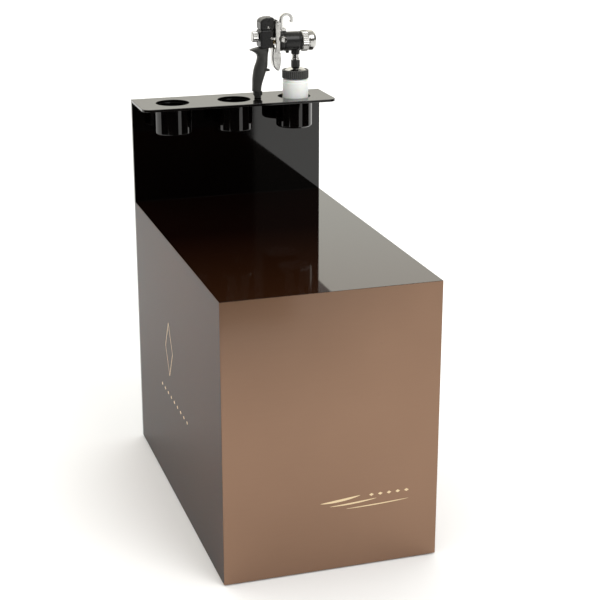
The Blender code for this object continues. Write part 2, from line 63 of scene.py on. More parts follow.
TOUCHING = 0.0005   # corners closer than this are one
CUPS = ("cup_left", "cup_middle", "cup_right")
CORNERS = ("front_left", "front_right", "back_left", "back_right")
CUP_WALL = 4
FOIL = 0.04         # how far a foil shape stands proud of its panel
SLOT = {row["node"]: row["material_slot"] for row in frame["record"]["subparts"]}
BODIES = frame["record"]["behaviour"]["bodies"]
BODY = {node: body for body, nodes in BODIES.items() for node in nodes}


# -------- measuring the frame

def box_mm(node):
    low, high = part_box(node)
    return low / MM, high / MM


def middle(node):
    low, high = box_mm(node)
    return (low + high) / 2


def round_size(node, axis):
    """Middle, outer radius, and both ends along its axis of a round CAD node."""
    low, high = box_mm(node)
    across = (axis + 1) % 3
    return (low + high) / 2, (high[across] - low[across]) / 2, low[axis], high[axis]


GUN = Vector((middle("cup_middle").x, middle("cup_middle").y, box_mm("cup_shelf")[1].z))
LINE = middle("air_cap_ring")
PIVOT = middle("pivot_pin")
BOTTLE = middle("bottle")


def at(x, y, z):
    """A place given from the gun's origin, which stands on the shelf on the line of the cups."""
    return GUN + Vector((x, y, z))


# -------- mesh helpers

def add_object(name, data):
    thing = bpy.data.objects.new(name, data)
    bpy.context.scene.collection.objects.link(thing)
    return thing


def close_mesh(name, bm):
    """Turns a bmesh in millimetres into an object in metres, smooth except at its sharp edges."""
    sharp = 38
    bmesh.ops.remove_doubles(bm, verts=bm.verts, dist=TOUCHING)
    bmesh.ops.recalc_face_normals(bm, faces=bm.faces)
    bmesh.ops.scale(bm, vec=(MM, MM, MM), verts=bm.verts)
    mesh = bpy.data.meshes.new(name)
    bm.to_mesh(mesh)
    bm.free()
    mesh.shade_smooth()
    mesh.set_sharp_from_angle(angle=math.radians(sharp))
    return add_object(name, mesh)


def arc(centre, radius, start, end, steps=12):
    turns = [math.radians(start + (end - start) * k / steps) for k in range(steps + 1)]
    return [(centre[0] + radius * math.cos(t), centre[1] + radius * math.sin(t)) for t in turns]


def eased(points, size, steps=3, keep_axis=True):
    """Rounds the corners of a closed outline with short curves. Corners on the axis stay."""
    straight, most = 2.9, 0.45
    count = len(points)
    out = []
    for k, corner in enumerate(points):
        here = Vector(corner)
        before = Vector(points[k - 1]) - here
        after = Vector(points[(k + 1) % count]) - here
        on_axis = keep_axis and corner[0] < ON_AXIS
        if on_axis or min(before.length, after.length) < ON_AXIS or before.angle(after) > straight:
            out.append(tuple(corner))
            continue
        a = here + before.normalized() * min(size, before.length * most)
        b = here + after.normalized() * min(size, after.length * most)
        for j in range(steps + 1):
            t = j / steps
            out.append(tuple(a * (1 - t) ** 2 + here * 2 * t * (1 - t) + b * t * t))
    return out


def rod(radius, low, high):
    """The lathe section of a plain round bar or bore."""
    return [(0, low), (radius, low), (radius, high), (0, high)]


def pipe(inner, outer, low, high):
    """The lathe section of a plain tube."""
    return [(inner, low), (outer, low), (outer, high), (inner, high)]


def lathe(name, profile, centre, axis, segments=72, ease=0.4, shape=None):
    """Spins a closed section of (radius, place along the axis) about a line through centre."""
    if ease:
        profile = eased(profile, ease)
    across, up = (axis + 1) % 3, (axis + 2) % 3
    bm = bmesh.new()
    rings = []
    for radius, along in profile:
        ring = []
        for k in range(1 if radius < ON_AXIS else segments):
            turn = math.tau * k / segments
            reach = shape(turn, along, radius) if shape and radius > ON_AXIS else radius
            point = Vector(centre)
            point[axis] = along
            point[across] += reach * math.cos(turn)
            point[up] += reach * math.sin(turn)
            ring.append(bm.verts.new(point))
        rings.append(ring)
    for here, there in zip(rings, rings[1:] + rings[:1]):
        if len(here) == 1 and len(there) == 1:
            continue
        for k in range(segments):
            nxt = (k + 1) % segments
            corners = [here[k % len(here)], here[nxt % len(here)],
                       there[nxt % len(there)], there[k % len(there)]]
            bm.faces.new(list(dict.fromkeys(corners)))
    return close_mesh(name, bm)


def ribbed(count, depth, low, high, least):
    """A lathe shape: ribs along the axis, between two places and outside a least radius."""
    flank = 0.6

    def shape(turn, along, radius):
        if radius < least or not low <= along <= high:
            return radius
        return radius - depth * (0.5 - 0.5 * math.cos(count * turn)) ** flank
    return shape


def hexagonal(flat, low, high):
    """A lathe shape: six flats between two places, cut into the round."""
    def shape(turn, along, radius):
        if not low <= along <= high:
            return radius
        sector = (turn + math.pi / 6) % (math.pi / 3) - math.pi / 6
        return min(radius, flat / math.cos(sector))
    return shape


def extrude(name, outline, low, high, offset=Vector((0, 0, 0))):
    """An outline in X and Z, carried along Y from low to high."""
    bm = bmesh.new()
    near = [bm.verts.new(Vector((x, low, z)) + offset) for x, z in outline]
    far = [bm.verts.new(Vector((x, high, z)) + offset) for x, z in outline]
    bm.faces.new(near)
    bm.faces.new(far)
    for k in range(len(outline)):
        nxt = (k + 1) % len(outline)
        bm.faces.new((near[k], near[nxt], far[nxt], far[k]))
    return close_mesh(name, bm)


def loft(name, rings):
    """A skin over rings of as many points each, closed at both ends."""
    bm = bmesh.new()
    rows = [[bm.verts.new(point) for point in ring] for ring in rings]
    for here, there in zip(rows, rows[1:]):
        for k in range(len(here)):
            nxt = (k + 1) % len(here)
            bm.faces.new((here[k], here[nxt], there[nxt], there[k]))
    bm.faces.new(rows[0])
    bm.faces.new(rows[-1])
    return close_mesh(name, bm)


def block(name, low, high):
    outline = [(low[0], low[2]), (high[0], low[2]), (high[0], high[2]), (low[0], high[2])]
    return extrude(name, outline, low[1], high[1])


def bake_modifiers(thing):
    """Replaces an object's mesh with what its modifiers make of it."""
    bpy.context.view_layer.update()
    graph = bpy.context.evaluated_depsgraph_get()
    mesh = bpy.data.meshes.new_from_object(thing.evaluated_get(graph))
    thing.modifiers.clear()
    old, thing.data = thing.data, mesh
    bpy.data.meshes.remove(old)
    return thing


def combine(thing, operation, others):
    """Unites with or cuts by other objects, which are used up."""
    for other in others:
        mod = thing.modifiers.new(operation.lower(), "BOOLEAN")
        mod.operation = operation
        mod.solver = "EXACT"
        mod.object = other
    bake_modifiers(thing)
    for other in others:
        bpy.data.objects.remove(other)
    return thing


def round_edges(thing, width, segments=2, angle=35):
    mod = thing.modifiers.new("edge", "BEVEL")
    mod.width = width * MM
    mod.segments = segments
    mod.limit_method = "ANGLE"
    mod.angle_limit = math.radians(angle)
    return thing


def cast(thing, voxel, passes):
    """Softens every edge and inner corner, as on a casting that has been blasted."""
    skin = thing.modifiers.new("skin", "REMESH")
    skin.mode = "VOXEL"
    skin.voxel_size = voxel * MM
    skin.use_smooth_shade = True
    soft = thing.modifiers.new("soft", "SMOOTH")
    soft.factor = 0.5
    soft.iterations = passes
    return bake_modifiers(thing)


def catmull(rows, steps):
    """Puts smooth in-between rows into a list of rows of numbers."""
    out = []
    for k in range(len(rows) - 1):
        a, b, c, d = (rows[min(max(k + j, 0), len(rows) - 1)] for j in (-1, 0, 1, 2))
        for j in range(steps):
            t = j / steps
            out.append([0.5 * (2 * q + (r - p) * t + (2 * p - 5 * q + 4 * r - s) * t ** 2
                               + (3 * q - p - 3 * r + s) * t ** 3) for p, q, r, s in zip(a, b, c, d)])
    return out + [list(rows[-1])]


# -------- material helpers

def add_node(tree, kind, inputs=(), **settings):
    """Adds a shader node. An input is either linked to a socket or set to a value."""
    made = tree.nodes.new(kind)
    for key, value in settings.items():
        setattr(made, key, value)
    for key, value in dict(inputs).items():
        if isinstance(value, bpy.types.NodeSocket):
            tree.links.new(value, made.inputs[key])
        else:
            made.inputs[key].default_value = value
    return made


class Finish:
    """A Principled material and short ways of adding nodes to it."""

    def __init__(self, name, **sockets):
        self.material = bpy.data.materials.new(name)
        self.material.use_nodes = True
        self.tree = self.material.node_tree
        self.shader = self.tree.nodes["Principled BSDF"]
        for key, value in sockets.items():
            self.shader.inputs[key.replace("_", " ")].default_value = value
        self.place = self.tree.nodes.new("ShaderNodeTexCoord").outputs["Object"]

    def node(self, kind, inputs=(), **settings):
        return add_node(self.tree, kind, inputs, **settings)

    def noise(self, scale, detail=3.0, roughness=0.5, stretch=(1, 1, 1)):
        mapping = self.node("ShaderNodeMapping", {"Vector": self.place, "Scale": stretch})
        inputs = {"Vector": mapping.outputs[0], "Scale": scale, "Detail": detail,
                  "Roughness": roughness}
        return self.node("ShaderNodeTexNoise", inputs).outputs[0]

    def cells(self, scale):
        inputs = {"Vector": self.place, "Scale": scale}
        return self.node("ShaderNodeTexVoronoi", inputs).outputs["Distance"]

    def rescale(self, value, low, high, to_low, to_high):
        inputs = {"Value": value, "From Min": low, "From Max": high,
                  "To Min": to_low, "To Max": to_high}
        return self.node("ShaderNodeMapRange", inputs).outputs[0]

    def spread(self, noise, to_low, to_high):
        """Maps the part of a noise's range in which most of it lies."""
        return self.rescale(noise, 0.3, 0.7, to_low, to_high)

    def maths(self, operation, a, b):
        return self.node("ShaderNodeMath", {0: a, 1: b}, operation=operation).outputs[0]

    def blend(self, factor, first, second):
        tones = [tone if isinstance(tone, bpy.types.NodeSocket) else (*tone, 1.0)
                 for tone in (first, second)]
        inputs = {"Factor": factor, 6: tones[0], 7: tones[1]}
        return self.node("ShaderNodeMix", inputs, data_type="RGBA").outputs[2]

    def edges(self, radius, low=0.02, high=0.22):
        """1 on worn outer and inner edges, 0 on flat faces."""
        rounded = self.node("ShaderNodeBevel", {"Radius": radius * MM}, samples=4).outputs[0]
        flat = self.node("ShaderNodeNewGeometry").outputs["Normal"]
        dot = self.node("ShaderNodeVectorMath", {0: rounded, 1: flat}, operation="DOT_PRODUCT")
        return self.rescale(dot.outputs["Value"], 1 - low, 1 - high, 0.0, 1.0)

    def colour(self, socket):
        self.tree.links.new(socket, self.shader.inputs["Base Color"])

    def roughness(self, socket):
        self.tree.links.new(socket, self.shader.inputs["Roughness"])

    def bump(self, height, depth, strength=1.0):
        inputs = {"Height": height, "Distance": depth * MM, "Strength": strength}
        made = self.node("ShaderNodeBump", inputs)
        self.tree.links.new(made.outputs[0], self.shader.inputs["Normal"])


# -------- finishes

def scaled(colour, factor, lift=0.0):
    return tuple(c * factor + lift for c in colour)


def bronze_panel():
    """Anodised sheet: brown face on, and grey at a glance, where its clear coat takes over."""
    f = Finish("bronze_anodised_sheet", Metallic=1.0, Specular_Tint=(0.02, 0.0, 0.0, 1.0),
               Coat_Weight=0.4, Coat_Roughness=0.1, Coat_IOR=1.5, Coat_Tint=(1.0, 0.99, 0.8, 1.0))
    deep, pale, scratch = (0.240, 0.141, 0.098), (0.262, 0.156, 0.109), (0.285, 0.175, 0.118)
    cloud = f.noise(2.4, 3.0)
    grain = f.noise(500, 4.0, 0.6, (0.03, 0.03, 1))
    smear = f.noise(9, 5.0, 0.6, (1, 1, 0.5))
    tone = f.blend(f.spread(cloud, 0, 1), deep, pale)
    f.colour(f.blend(f.rescale(grain, 0.35, 0.65, 0, 0.15), tone, scratch))
    shine = f.spread(smear, 0.29, 0.32)
    f.roughness(f.maths("ADD", shine, f.spread(grain, -0.02, 0.02)))
    f.bump(grain, 0.004, 0.2)
    return f.material


def gloss_sheet(name, colour, haze, front=None):
    """Polished acrylic sheet with faint dust and wipe marks. front is its colour at its front edge:
    painted light that fades to painted shade towards the rear.
    """
    f = Finish(name, IOR=1.5)
    body = colour
    # Painted light and shade: the colour blends along the sheet's depth from the darker rear colour
    # (painted shade) to the front colour (painted light).
    if front:
        along = f.node("ShaderNodeTexCoord").outputs["Generated"]
        depth = f.node("ShaderNodeSeparateXYZ", {0: along}).outputs["Y"]
        body = f.blend(f.rescale(depth, 0.0, 0.6, 1.0, 0.0), colour, front)
    dust = f.rescale(f.cells(520), 0.0, 0.16, 1.0, 0.0)
    patchy = f.rescale(f.noise(14, 4.0), 0.5, 0.75, 0.0, 0.35)
    f.colour(f.blend(f.maths("MULTIPLY", dust, patchy), body, scaled(colour, 1.6, 0.003)))
    wipe = f.noise(6, 6.0, 0.65, (1, 0.25, 1))
    f.roughness(f.rescale(wipe, 0.3, 0.75, haze, haze + 0.035))
    f.bump(f.noise(45, 2.0), 0.012, 0.12)
    return f.material


def inner_board():
    """Fibre board: matt, with fibres that lie one way."""
    f = Finish("fibre_board")
    fibre = f.noise(420, 6.0, 0.7, (1, 0.3, 1))
    f.colour(f.blend(fibre, (0.20, 0.125, 0.07), (0.42, 0.29, 0.18)))
    f.roughness(f.rescale(fibre, 0.2, 0.8, 0.72, 0.9))
    f.bump(fibre, 0.15, 0.5)
    return f.material


def rubber(name, colour):
    """Matt rubber with a fine grit and a pale bloom in patches."""
    f = Finish(name)
    grit = f.noise(900, 4.0, 0.6)
    bloom = f.rescale(f.noise(60, 4.0), 0.4, 0.7, 0.0, 0.7)
    f.colour(f.blend(bloom, colour, scaled(colour, 2.1)))
    f.roughness(f.spread(grit, 0.68, 0.88))
    f.bump(grit, 0.05, 0.5)
    return f.material


def bare_metal(name, colour, low, high):
    """Plated or plain metal: smudged shine, fine polishing lines and tarnish in patches."""
    f = Finish(name, Metallic=1.0)
    patch = f.noise(70, 5.0, 0.6)
    lines = f.noise(2600, 3.0, 0.6)
    f.colour(f.blend(f.rescale(patch, 0.35, 0.7, 0.0, 0.5), colour, scaled(colour, 0.78)))
    shine = f.spread(patch, low, high)
    f.roughness(f.maths("ADD", shine, f.spread(lines, -0.02, 0.03)))
    f.bump(lines, 0.003, 0.12)
    return f.material


def worn_black(name, colour, low, high, grain):
    """Blackened metal whose edges have rubbed through to a lighter grey."""
    f = Finish(name, Specular_IOR_Level=0.32)
    grit = f.noise(grain, 5.0, 0.6)
    broken = f.rescale(f.noise(160, 5.0, 0.7), 0.42, 0.62, 0.0, 1.0)
    wear = f.maths("MULTIPLY", f.edges(0.9), broken)
    body = f.blend(f.spread(grit, 0.0, 1.0), colour, scaled(colour, 1.5))
    f.colour(f.blend(wear, body, (0.20, 0.195, 0.19)))
    f.roughness(f.spread(grit, low, high))
    f.bump(grit, 0.05, 0.35)
    return f.material


def gloss_plastic(name, colour, haze):
    """Moulded plastic with finger smears."""
    f = Finish(name, Specular_IOR_Level=0.34)
    smear = f.noise(90, 5.0, 0.6)
    f.colour(f.blend(f.rescale(smear, 0.4, 0.7, 0.0, 0.6), colour, scaled(colour, 1.7, 0.002)))
    f.roughness(f.spread(smear, haze, haze + 0.12))
    f.bump(f.noise(300, 2.0), 0.01, 0.2)
    return f.material


def grip_rubber():
    """Moulded grip with a fine stipple, polished a little where the hand rubs."""
    f = Finish("stippled_grip")
    stipple = f.cells(900)
    rub = f.rescale(f.noise(28, 4.0), 0.4, 0.7, 0.0, 1.0)
    f.colour(f.blend(rub, (0.020, 0.020, 0.018), (0.035, 0.034, 0.031)))
    f.roughness(f.rescale(rub, 0.0, 1.0, 0.56, 0.40))
    f.bump(stipple, 0.12, 0.6)
    return f.material


def ring_plastic():
    """Grey plastic, speckled and paler with grime on its ribs."""
    f = Finish("ribbed_grey_plastic")
    grime = f.rescale(f.edges(1.2), 0.0, 1.0, 0.0, 0.7)
    speckle = f.noise(500, 4.0)
    mottle = f.rescale(speckle, 0.35, 0.65, 0.0, 1.0)
    body = f.blend(mottle, (0.034, 0.034, 0.033), (0.052, 0.052, 0.050))
    f.colour(f.blend(grime, body, (0.10, 0.10, 0.097)))
    f.roughness(f.spread(speckle, 0.42, 0.55))
    f.bump(speckle, 0.04, 0.4)
    return f.material


def bottle_plastic():
    """Milky polyethylene: light goes a little way in, with faint stains on the outside."""
    f = Finish("milky_polyethylene", IOR=1.5, Subsurface_Weight=0.2, Subsurface_Scale=0.003)
    stain = f.rescale(f.noise(45, 5.0, 0.6), 0.5, 0.78, 0.0, 0.55)
    f.colour(f.blend(stain, (0.90, 0.90, 0.885), (0.80, 0.79, 0.75)))
    f.roughness(f.spread(f.noise(200, 4.0), 0.28, 0.42))
    f.bump(f.noise(350, 3.0), 0.02, 0.3)
    return f.material


def gold_foil():
    """Thin foil: satin pale gold with tiny breaks in it."""
    f = Finish("pale_gold_foil", Metallic=0.55)
    fleck = f.rescale(f.noise(1200, 4.0, 0.7), 0.35, 0.6, 0.0, 1.0)
    f.colour(f.blend(fleck, (0.62, 0.45, 0.26), (0.86, 0.70, 0.45)))
    f.roughness(f.rescale(fleck, 0.0, 1.0, 0.5, 0.36))
    f.bump(fleck, 0.01, 0.3)
    return f.material


def make_finishes():
    """One finish for each material slot of the frame, and the foil."""
    # The top sheet's second brown is painted light at its front edge, fading to the darker rear colour
    # as painted shade.
    brown, painted_light_front = (0.005, 0.0015, 0.0010), (0.027, 0.0095, 0.0040)
    black, shelf_black = (0.0012, 0.0007, 0.0006), (0.003, 0.0025, 0.0022)
    return {
        "bronze_panel": bronze_panel(),
        "gloss_top": gloss_sheet("gloss_brown_sheet", brown, 0.02, painted_light_front),
        "gloss_black": gloss_sheet("gloss_black_sheet", black, 0.03),
        "gloss_shelf": gloss_sheet("gloss_shelf_sheet", shelf_black, 0.04),
        "inner_board": inner_board(),
        "foot_rubber": rubber("foot_rubber", (0.018, 0.018, 0.018)),
        "screw_steel": bare_metal("zinc_screw_steel", (0.60, 0.60, 0.58), 0.22, 0.38),
        "bracket_black": worn_black("powder_black", (0.016, 0.016, 0.016), 0.42, 0.6, 900),
        "gun_black": worn_black("worn_satin_black", (0.009, 0.009, 0.009), 0.22, 0.36, 500),
        "gun_cover": gloss_plastic("gloss_black_cover", (0.010, 0.010, 0.010), 0.22),
        "grip": grip_rubber(),
        "fitting_black": worn_black("black_fitting", (0.016, 0.016, 0.015), 0.26, 0.4, 700),
        "chrome": bare_metal("polished_chrome", (0.53, 0.525, 0.51), 0.06, 0.16),
        "needle_steel": bare_metal("ground_steel", (0.62, 0.62, 0.61), 0.14, 0.26),
        "brass": bare_metal("brass", (0.73, 0.53, 0.25), 0.16, 0.32),
        "gasket_rubber": rubber("gasket_rubber", (0.022, 0.020, 0.018)),
        "ring_grey": ring_plastic(),
        "bottle_white": bottle_plastic(),
        "foil": gold_foil(),
    }


finishes = make_finishes()


def even_shading(thing):
    """Keeps broad faces flat in shading where they meet narrow rounded edges."""
    mod = thing.modifiers.new("even", "WEIGHTED_NORMAL")
    mod.keep_sharp = True
    mod.weight = 90


def stand_for(node, thing, even=True):
    """Shows a finer piece for a CAD node, with the node's body and finish."""
    thing.name = f"detailed_{node}"
    if even:
        even_shading(thing)
    thing.data.materials.clear()
    thing.data.materials.append(finishes[SLOT[node]])
    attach(thing, BODY[node])
    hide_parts(node)
    return thing


def turned(node, axis, section, segments, ease, shape=None):
    """Shows a lathe part for a round CAD node, on the node's own axis."""
    stand_for(node, lathe(node, section, middle(node), axis, segments, ease, shape))


def finish_cad_node(node, edge):
    """Keeps a CAD node, with its own finish and small rounded edges."""
    thing = frame["nodes"][node]
    for holder in thing.material_slots:
        holder.material = finishes[SLOT[node]]
    weld = thing.modifiers.new("weld", "WELD")
    weld.merge_threshold = 0.02 * MM
    round_edges(thing, edge)
    even_shading(thing)


# -------- the stand

def finish_cabinet():
    """The panels, base, posts and brackets keep their CAD shape."""
    edges = {"front_panel": 0.45, "left_side_panel": 0.45, "right_side_panel": 0.45,
             "top_panel": 0.45, "back_panel": 0.8, "base_panel": 0.5}
    edges.update({f"corner_post_{corner}": 1.0 for corner in CORNERS})
    edges.update({f"shelf_bracket_{side}": 0.35 for side in ("left", "right")})
    for node, edge in edges.items():
        finish_cad_node(node, edge)


def rounded_plate(name, loops, thick, rim):
    """A plate from its outline and its holes, level about Z = 0, with softened rims."""
    curve = bpy.data.curves.new(name, "CURVE")
    curve.dimensions = "2D"
    curve.fill_mode = "BOTH"
    curve.extrude = thick / 2 * MM - rim * MM
    curve.bevel_depth = rim * MM
    curve.bevel_resolution = 3
    curve.offset = -rim * MM
    for points in loops:
        spline = curve.splines.new("POLY")
        spline.points.add(len(points) - 1)
        for spot, (x, y) in zip(spline.points, points):
            spot.co = (x * MM, y * MM, 0, 1)
        spline.use_cyclic_u = True
    holder = add_object(name, curve)
    bpy.context.view_layer.update()
    graph = bpy.context.evaluated_depsgraph_get()
    bm = bmesh.new()
    bm.from_mesh(bpy.data.meshes.new_from_object(holder.evaluated_get(graph)))
    bpy.data.objects.remove(holder)
    bmesh.ops.scale(bm, vec=(1 / MM, 1 / MM, 1 / MM), verts=bm.verts)
    return bm


def make_shelf():
    """Plate with softened rims round its outline and round the three holes."""
    low, high = box_mm("cup_shelf")
    corner, hole_steps = 18, 96
    left, right = low.x + corner, high.x - corner
    front = low.y + corner
    outline = [(high.x, high.y), (low.x, high.y)]
    outline += arc((left, front), corner, 180, 270, 16) + arc((right, front), corner, 270, 360, 16)
    loops = [outline]
    for cup in CUPS:
        centre, radius, _, _ = round_size(cup, Z)
        loops.append(arc(centre.xy, radius - CUP_WALL, 0, 360 - 360 / hole_steps, hole_steps - 1))
    shelf = rounded_plate("shelf_curve", loops, high.z - low.z, 0.9)
    bmesh.ops.translate(shelf, vec=(0, 0, (low.z + high.z) / 2), verts=shelf.verts)
    stand_for("cup_shelf", close_mesh("shelf", shelf))


def make_cups():
    """Deep cups: rounded lip, drawn wall and a soft corner round the floor, inside and out."""
    for cup in CUPS:
        _, radius, low, high = round_size(cup, Z)
        bore, floor = radius - CUP_WALL, low + CUP_WALL
        section = [(0, low), (radius - 3, low), (radius, low + 3), (radius, high), (bore, high),
                   (bore, floor + 3), (bore - 3, floor), (0, floor)]
        turned(cup, Z, section, 96, 1.0)


def make_feet():
    """Rubber feet with a groove round them and a sunk hole for their screws."""
    hole, sunk = 2.8, 5
    for corner in CORNERS:
        node = f"foot_{corner}"
        _, radius, low, high = round_size(node, Z)
        section = [(sunk, low), (radius - 1.5, low), (radius, low + 1.5), (radius, low + 4),
                   (radius - 0.8, low + 4.6), (radius - 0.8, low + 5.8), (radius, low + 6.4),
                   (radius - 1.2, high), (hole, high), (hole, low + 8), (sunk, low + 8)]
        turned(node, Z, section, 64, 0.5)
        make_screw(f"foot_screw_{corner}", Z, -1, 2.7, 2.4)


def make_screw(node, axis, out, head, shank):
    """Domed head with a cross recess. out is the way the head faces along its axis."""
    centre, radius, low, high = round_size(node, axis)
    face, tip = (high, low) if out > 0 else (low, high)

    def deep(depth):
        return face - out * depth

    section = [(0, deep(0)), (radius * 0.5, deep(head * 0.05)), (radius * 0.85, deep(head * 0.3)),
               (radius, deep(head * 0.65)), (radius, deep(head)), (shank, deep(head)),
               (shank, tip + out * shank * 0.4), (shank * 0.6, tip), (0, tip)]
    thing = lathe(node, section, centre, axis, 40, 0.15)
    cutters = []
    arms = [k for k in range(3) if k != axis]
    widths, depths = (radius * 0.13, radius * 0.14), (head * 0.45, head * 0.42)
    for arm, width, depth in zip(arms, widths, depths):
        size = [width, width, width]
        size[arm] = radius * 0.6
        size[axis] = depth
        place = centre.copy()
        place[axis] = face
        cutters.append(block(f"{node}_slot_{arm}", place - Vector(size), place + Vector(size)))
    stand_for(node, combine(thing, "DIFFERENCE", cutters))


def make_bracket_screws():
    for side in ("left", "right"):
        make_screw(f"bracket_screw_shelf_{side}", Z, -1, 1.7, 1.5)
        make_screw(f"bracket_screw_panel_{side}", Y, -1, 1.7, 1.5)


# -------- the gun's body
# The extruded outlines of the gun are in its own X and Z, as at() takes them.

def barrel_section():
    """The barrel's turned outside: eased ends, two grooves, and a thinner nose in front."""
    low, high = box_mm("gun_body")
    radius = (high.y - low.y) / 2
    start, end = low.x + 47, high.x - 14
    groove, nose = radius - 0.9, radius - 3.6
    return [(0, start), (radius - 1.5, start), (radius, start + 1.5),
            (radius, start + 9), (groove, start + 10), (groove, start + 12), (radius, start + 13),
            (radius, end - 7), (groove, end - 6), (groove, end - 4.5), (radius, end - 3.5),
            (radius, end - 1.5), (radius - 1.5, end), (nose, end), (nose, high.x - 1),
            (nose - 1, high.x), (0, high.x)]


def bore_gun_body(body):
    """Cuts the stepped way for the needle, the fluid's way up, and the fluid knob's hole."""
    line, top = GUN.x, GUN.z
    needle_way = [(0, line + 66), (5.6, line + 66), (5.6, line + 100), (4.3, line + 100),
                  (4.3, line + 113), (3, line + 113), (3, line + 166), (8.3, line + 166),
                  (8.3, line + 180), (0, line + 180)]
    fluid_way = [(0, top + 92), (7.3, top + 92), (7.3, top + 104), (2.6, top + 104),
                 (2.6, top + 126.9), (0, top + 126.9)]
    knob_hole = rod(3.35, line + 50, line + 71)
    combine(body, "DIFFERENCE", [
        lathe("needle_bore", needle_way, LINE, X, 40, 0),
        lathe("fluid_bore", fluid_way, BOTTLE, Z, 40, 0),
        lathe("knob_bore", knob_hole, middle("fluid_knob"), X, 32, 0),
    ])


def make_gun_body():
    """Casting: rear block, bridge, pivot lug, barrel with its nose, bosses and fluid socket."""
    rear = (arc((65, 121), 5, 180, 270, 6) + arc((86, 121), 5, 270, 360, 6)
            + arc((86, 152), 5, 0, 90, 6) + arc((66, 151), 6, 90, 180, 6))
    body = round_edges(extrude("rear_block", rear, -19, 19, GUN), 3, 4, 60)
    pivot = (PIVOT.x - GUN.x, PIVOT.z - GUN.z)
    lug = [(93.5, 138)] + arc(pivot, 6.5, 180, 0, 24) + [(106.5, 138)]
    drain = rod(4, at(0, 0, 100.5).z, at(0, 0, 115).z)
    socket_end = box_mm("gun_body")[0].z
    parts = [
        block("bridge", at(80, -8, 141.5), at(113, 8, 148)),
        extrude("lug", lug, -9, 9, GUN),
        lathe("barrel", barrel_section(), LINE, X, 96),
        block("hook_pad", at(110, -6.2, 140), at(125.5, 6.2, 151)),
        lathe("drain", drain, at(129, 0, 0), Z, 40),
        lathe("socket", rod(10, socket_end, socket_end + 17.5), BOTTLE, Z, 60),
    ]
    bake_modifiers(body)
    combine(body, "UNION", parts)
    bore_gun_body(body)
    stand_for("gun_body", cast(body, 0.7, 4), False)


def oval(low, high, half_width, z, count=64, power=2.4):
    """A rounded section of the handle at height z, from its back to its front."""
    ring = []
    for k in range(count):
        turn = math.tau * k / count
        c, s = math.cos(turn), math.sin(turn)
        x = math.copysign(abs(c) ** (2 / power), c) * (high - low) / 2
        y = math.copysign(abs(s) ** (2 / power), s) * half_width
        ring.append(at((low + high) / 2 + x, y, z))
    return ring


def make_handle():
    """Grip with a hand rest horn at its top back, and a finger stop on its front."""
    # Each row is a height on the grip, its back and its front there, and half its width.
    spine = [(16, 44, 65, 11), (30, 44.5, 66.5, 12), (46, 45, 71.5, 13), (62, 47.5, 77, 14),
             (72, 50, 80, 14), (82, 54, 80.8, 14), (92, 56.5, 81, 14), (99, 55.5, 81.5, 14),
             (104, 51, 82.5, 14), (108, 44.5, 83.5, 14), (110.5, 38.5, 84, 13.5),
             (112, 39.5, 84, 13.5), (114, 46, 84, 14), (115.7, 55, 84, 14)]
    rows = catmull(spine, 4)
    handle = loft("handle", [oval(back, front, width, z) for z, back, front, width in rows])
    stop = [(70, 60.5), (84, 61), (86, 62.5), (86, 65), (84, 66.5), (70, 66.5)]
    stop = extrude("finger_stop", eased(stop, 1.2, 3, False), -5, 5, GUN)
    combine(handle, "UNION", [stop])
    stand_for("handle", cast(handle, 0.7, 5), False)


def make_inlet():
    """Air fitting: a hexagon, and an end for the hose with a groove round it."""
    node = "air_inlet_fitting"
    _, radius, low, high = round_size(node, Z)
    bore, end, groove = 4.5, 8.5, 7.7
    section = [(bore, low), (7.5, low), (end, low + 1.2), (end, low + 2.4), (groove, low + 3),
               (groove, low + 3.8), (end, low + 4.4), (end, low + 5.7), (radius, low + 6.7),
               (radius, high - 1), (radius - 1, high), (bore, high)]
    turned(node, Z, section, 96, 0.25, hexagonal(radius * 0.9, low + 6, high))


def make_top_cover():
    """Moulded cover over the rear block, with a shallow groove along its lower edge."""
    low, high = box_mm("top_cover")
    half, base = (high.y - low.y) / 2, low.z - GUN.z
    groove_low, groove_high, deep = base + 2.6, base + 3.6, 0.6
    outline = [(60.5, base)] + arc((72, 172), 11.5, 180, 100, 16)
    outline += [(76, 185), (90, 185), (93, 182), (93, base)]
    cover = round_edges(extrude("cover", outline, -half, half, GUN), 3, 5, 50)
    bake_modifiers(cover)
    grooves = []
    for side in (-1, 1):
        wall = side * half
        near, far = at(58, wall - deep, groove_low), at(95, wall + deep, groove_high)
        grooves.append(block(f"groove_{side}", near, far))
    combine(cover, "DIFFERENCE", grooves)
    stand_for("top_cover", cast(cover, 0.6, 3), False)


def make_gun_screws():
    make_screw("cover_screw", Y, -1, 1.8, 1.5)
    make_screw("side_screw", Y, -1, 1.8, 1.5)
    make_screw("hook_screw", Z, 1, 2.1, 1.4)


def make_hook():
    """Flat bar with rounded edges, bent into a foot, an upright and an open curl."""
    path = [(125, 154.2), (121, 154.2), (117.5, 154.2)] + arc((117.5, 157.7), 3.5, 262, 190, 8)
    path += [(114, 160), (114, 165), (114, 170)] + arc((126.5, 177), 12.5, 180, -30, 48)
    half, wide, soft = 2.8, 5.0, 1.0
    corners = [(-half, -wide), (half, -wide), (half, wide), (-half, wide)]
    section = eased(corners, soft, 4, False)
    rings = []
    for k, (x, z) in enumerate(path):
        along = Vector(path[min(k + 1, len(path) - 1)]) - Vector(path[max(k - 1, 0)])
        along.normalize()
        rings.append([at(x - along.y * out, side, z + along.x * out) for out, side in section])
    hook = loft("hook", rings)
    screw_hole = rod(1.8, GUN.z + 148, GUN.z + 160)
    bore = lathe("hook_bore", screw_hole, middle("hook_screw"), Z, 32, 0)
    stand_for("hanging_hook", combine(hook, "DIFFERENCE", [bore]))


# -------- trigger and fluid line

